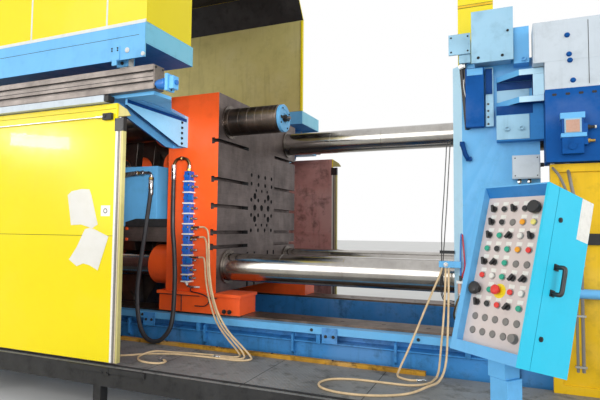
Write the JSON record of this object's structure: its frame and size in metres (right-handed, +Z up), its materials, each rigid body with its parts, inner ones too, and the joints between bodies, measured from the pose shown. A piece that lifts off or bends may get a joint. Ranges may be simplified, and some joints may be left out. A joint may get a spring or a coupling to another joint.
{
  "type": "die casting machine",
  "caption": "Cold chamber die casting machine with a toggle clamp, T-slotted platens, sliding hood and doors, one withdrawn tie bar and a swivelling console.",
  "frame": {"origin": "on the floor, under the fixed platen's die face, on the machine's centreline", "axes": "+X along the machine towards the injection end, +Y away from the operator's side, +Z up"},
  "size_m": [11.605, 5.0162, 5],
  "materials": {
    "bright_steel": "ground",
    "dark_steel": "matte",
    "deep_blue": "satin",
    "hose_black": "matte",
    "hose_cream": "matte",
    "kick_yellow": "worn",
    "orange": "satin",
    "pale_grey": "satin",
    "sky_blue": "satin",
    "way_steel": "machined",
    "yellow": "gloss"
  },
  "bodies": {
    "machine_frame": {"bed_near_beam": "sky_blue", "bed_far_beam": "sky_blue", "bed_cross_members": "deep_blue", "bed_ways": "way_steel", "platforms": "dark_steel", "kick_strips": "kick_yellow", "fixed_platen": "sky_blue", "rear_platen": "orange", "rear_lugs": "orange", "tie_bars": "bright_steel", "tie_bar_nuts": "way_steel", "rear_pins": "bright_steel", "clamp_cylinder": "sky_blue", "shot_frame": "sky_blue", "shot_cylinder": "sky_blue", "shot_sleeve": "bright_steel", "shot_plunger": "way_steel", "accumulators": "deep_blue", "shot_stand": "deep_blue", "clamp_guards": "yellow", "injection_guard": "yellow", "platen_top_guard": "yellow", "door_tracks": "pale_grey", "door_posts": "sky_blue", "platen_brackets": "sky_blue", "valve_block": "deep_blue", "relay_cabinet": "pale_grey", "console_post": "sky_blue", "return_hoses": "hose_cream"},
    "moving_platen": {"moving_platen": "orange", "moving_lugs": "orange", "platen_bushes": "orange", "slide_shoes": "orange", "toggle_pins": "bright_steel", "core_valve_block": "deep_blue", "ejector_beams": "bright_steel", "hood_rails": "dark_steel", "rail_brackets": "sky_blue", "water_manifold": "deep_blue", "manifold_pipe": "bright_steel", "core_hose": "hose_black", "water_hoses": "hose_cream"},
    "upper_rear_link": {"rear_link_upper": "orange"},
    "lower_rear_link": {"rear_link_lower": "orange"},
    "upper_front_link": {"front_link_upper": "orange"},
    "lower_front_link": {"front_link_lower": "orange"},
    "crosshead": {"crosshead": "way_steel"},
    "upper_crosshead_link": {"crosshead_link_upper": "orange"},
    "lower_crosshead_link": {"crosshead_link_lower": "orange"},
    "withdrawn_tie_bar": {"tie_bar_upper_near": "way_steel", "tie_bar_cap": "sky_blue"},
    "hood": {"hood_near_wall": "yellow", "hood_inner_walls": "yellow", "hood_end_panels": "yellow", "hood_roof": "yellow", "hood_trays": "sky_blue", "hood_rollers": "pale_grey"},
    "near_door": {"door_near": "yellow"},
    "far_door": {"door_far": "yellow"},
    "console": {"console_box": "sky_blue"}
  },
  "joints": [
    {"name": "platen_slide", "type": "slide", "parent": "machine_frame", "child": "moving_platen", "axis": [1, 0, 0], "range_m": [0, 1.2]},
    {"name": "upper_rear_link_swing", "type": "hinge", "parent": "machine_frame", "child": "upper_rear_link", "pos_m": [-3.795, 0, 2.315], "axis": [0, 1, 0], "range_deg": [0, 84.7]},
    {"name": "lower_rear_link_swing", "type": "hinge", "parent": "machine_frame", "child": "lower_rear_link", "pos_m": [-3.795, 0, 1.595], "axis": [0, -1, 0], "range_deg": [0, 84.7]},
    {"name": "upper_front_link_swing", "type": "hinge", "parent": "moving_platen", "child": "upper_front_link", "pos_m": [-3.095, 0, 2.315], "axis": [0, -1, 0], "range_deg": [0, 53.72]},
    {"name": "lower_front_link_swing", "type": "hinge", "parent": "moving_platen", "child": "lower_front_link", "pos_m": [-3.095, 0, 1.595], "axis": [0, 1, 0], "range_deg": [0, 53.72]},
    {"name": "crosshead_slide", "type": "slide", "parent": "machine_frame", "child": "crosshead", "axis": [1, 0, 0], "range_m": [0, 0.6477]},
    {"name": "upper_crosshead_link_swing", "type": "hinge", "parent": "crosshead", "child": "upper_crosshead_link", "pos_m": [-3.54442, 0, 2.095], "axis": [0, -1, 0], "range_deg": [0, 47.07]},
    {"name": "lower_crosshead_link_swing", "type": "hinge", "parent": "crosshead", "child": "lower_crosshead_link", "pos_m": [-3.54442, 0, 1.815], "axis": [0, 1, 0], "range_deg": [0, 47.07]},
    {"name": "tie_bar_pull", "type": "slide", "parent": "machine_frame", "child": "withdrawn_tie_bar", "axis": [1, 0, 0], "range_m": [0, 2.6]},
    {"name": "hood_slide", "type": "slide", "parent": "moving_platen", "child": "hood", "axis": [1, 0, 0], "range_m": [-0.5, 0]},
    {"name": "near_door_slide", "type": "slide", "parent": "machine_frame", "child": "near_door", "axis": [1, 0, 0], "range_m": [0, 2.6]},
    {"name": "far_door_slide", "type": "slide", "parent": "machine_frame", "child": "far_door", "axis": [1, 0, 0], "range_m": [0, 2]},
    {"name": "console_swivel", "type": "hinge", "parent": "machine_frame", "child": "console", "pos_m": [0.3987, -2.76085, 0.9], "axis": [0, 0, 1], "range_deg": [-40, 60]}
  ],
  "couplings": [
    {"joint": "upper_rear_link_swing", "follows": "platen_slide", "rad_per_m": 1.2319},
    {"joint": "lower_rear_link_swing", "follows": "platen_slide", "rad_per_m": 1.2319},
    {"joint": "upper_front_link_swing", "follows": "platen_slide", "rad_per_m": 0.78122},
    {"joint": "lower_front_link_swing", "follows": "platen_slide", "rad_per_m": 0.78122},
    {"joint": "crosshead_slide", "follows": "platen_slide", "ratio": 0.53969},
    {"joint": "upper_crosshead_link_swing", "follows": "platen_slide", "rad_per_m": 0.68455},
    {"joint": "lower_crosshead_link_swing", "follows": "platen_slide", "rad_per_m": 0.68455}
  ]
}
